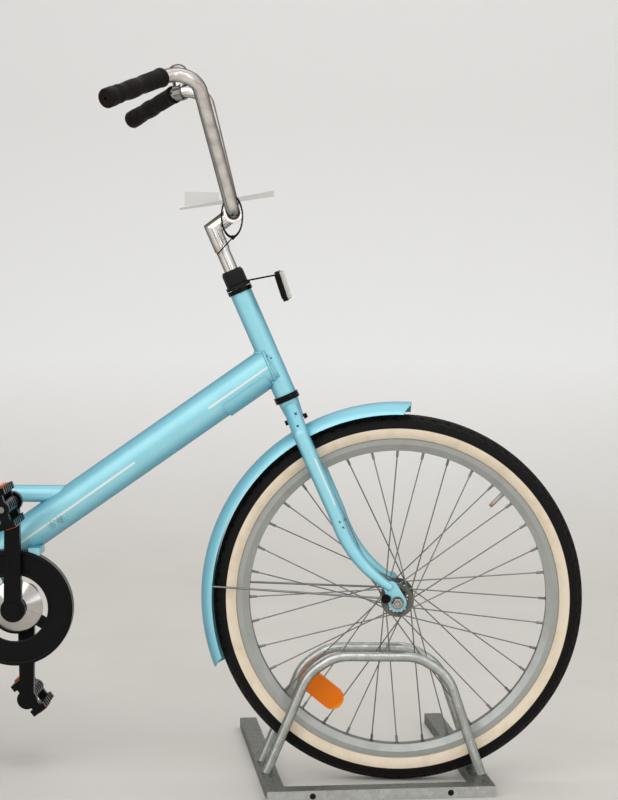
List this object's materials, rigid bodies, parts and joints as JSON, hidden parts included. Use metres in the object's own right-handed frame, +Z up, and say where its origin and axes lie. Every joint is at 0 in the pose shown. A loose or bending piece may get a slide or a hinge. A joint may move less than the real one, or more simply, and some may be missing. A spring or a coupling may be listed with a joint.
{
  "type": "kids bicycle",
  "caption": "Kids bicycle with a sloping main tube, high bar and mudguards, held upright by its front wheel in a galvanised floor rack.",
  "frame": {"origin": "on the floor directly under the front axle, in the plane of the wheels", "axes": "+X ahead along the bicycle, +Y to the rider's left, +Z up"},
  "size_m": [1.66, 0.7315, 1.1734],
  "materials": {
    "turquoise_paint": "gloss",
    "black_rubber": "matte",
    "tyre_rubber": "matte",
    "rim_aluminium": "satin",
    "zinc_wire": "satin",
    "polished_alloy": "polished",
    "chrome": "polished",
    "black_steel": "gloss",
    "black_plastic": "gloss",
    "orange_reflector": "gloss",
    "clear_reflector": "gloss",
    "red_reflector": "gloss",
    "chain_steel": "oiled",
    "galvanised_steel": "galvanised",
    "saddle_vinyl": "matte"
  },
  "bodies": {
    "front_end": {"rack_base": "galvanised_steel", "rack_hoops": "galvanised_steel", "fork": "turquoise_paint", "headset_race": "black_steel", "headset_nut": "black_plastic", "reflector_bracket": "black_steel", "front_reflector": "black_plastic", "front_reflector_lens": "clear_reflector", "stem": "polished_alloy", "handlebar": "polished_alloy", "grip_right": "black_rubber", "grip_left": "black_rubber", "bell": "chrome", "front_axle": "zinc_wire", "front_mudguard": "turquoise_paint", "front_mudguard_stays": "zinc_wire"},
    "front_wheel": {"front_tyre": "tyre_rubber", "front_rim": "rim_aluminium", "front_spokes": "zinc_wire", "front_hub": "zinc_wire", "front_wheel_reflector": "orange_reflector"},
    "frame": {"frame": "turquoise_paint", "headset_cups": "black_steel", "bottom_bracket_cups": "chain_steel", "seat_post": "chrome", "seat_clamp": "chrome", "saddle_frame": "black_steel", "saddle_springs": "black_rubber", "saddle_cover": "saddle_vinyl", "chain_guard": "black_plastic", "chain": "chain_steel", "rear_axle": "zinc_wire", "coaster_arm": "zinc_wire", "rear_mudguard": "turquoise_paint", "rear_mudguard_stays": "zinc_wire", "carrier": "black_steel", "rear_reflector": "red_reflector", "kickstand_bracket": "black_steel"},
    "rear_wheel": {"rear_tyre": "tyre_rubber", "rear_rim": "rim_aluminium", "rear_spokes": "zinc_wire", "rear_hub": "zinc_wire", "rear_sprocket": "chain_steel", "rear_wheel_reflector": "orange_reflector"},
    "crankset": {"crank_right": "black_steel", "crank_left": "black_steel", "crank_spindle": "chain_steel", "chainring": "black_steel", "crank_cover": "chrome", "pedal_axles": "zinc_wire"},
    "right_pedal": {"pedal_right": "black_plastic", "pedal_right_reflectors": "orange_reflector"},
    "left_pedal": {"pedal_left": "black_plastic", "pedal_left_reflectors": "orange_reflector"},
    "kickstand": {"kickstand_leg": "zinc_wire", "kickstand_foot": "black_rubber"}
  },
  "joints": [
    {"name": "steering", "type": "hinge", "parent": "front_end", "child": "frame", "pos_m": [-0.0321, 0, 0.28604], "axis": [-0.3987, 0, 0.9171], "range_deg": [-90, 90]},
    {"name": "front_wheel_spin", "type": "hinge", "parent": "front_end", "child": "front_wheel", "pos_m": [0, 0, 0.3], "axis": [0, 1, 0], "continuous": true},
    {"name": "rear_wheel_spin", "type": "hinge", "parent": "frame", "child": "rear_wheel", "pos_m": [-1.04, 0, 0.3], "axis": [0, 1, 0], "continuous": true},
    {"name": "crank_spin", "type": "hinge", "parent": "frame", "child": "crankset", "pos_m": [-0.617, 0, 0.289], "axis": [0, 1, 0], "continuous": true},
    {"name": "right_pedal_spin", "type": "hinge", "parent": "crankset", "child": "right_pedal", "pos_m": [-0.617, -0.132, 0.464], "axis": [0, 1, 0], "continuous": true},
    {"name": "left_pedal_spin", "type": "hinge", "parent": "crankset", "child": "left_pedal", "pos_m": [-0.617, 0.126, 0.114], "axis": [0, 1, 0], "continuous": true},
    {"name": "kickstand_fold", "type": "hinge", "parent": "frame", "child": "kickstand", "pos_m": [-0.962, 0.076, 0.272], "axis": [0, -0.9703, -0.2419], "range_deg": [0, 95]}
  ]
}
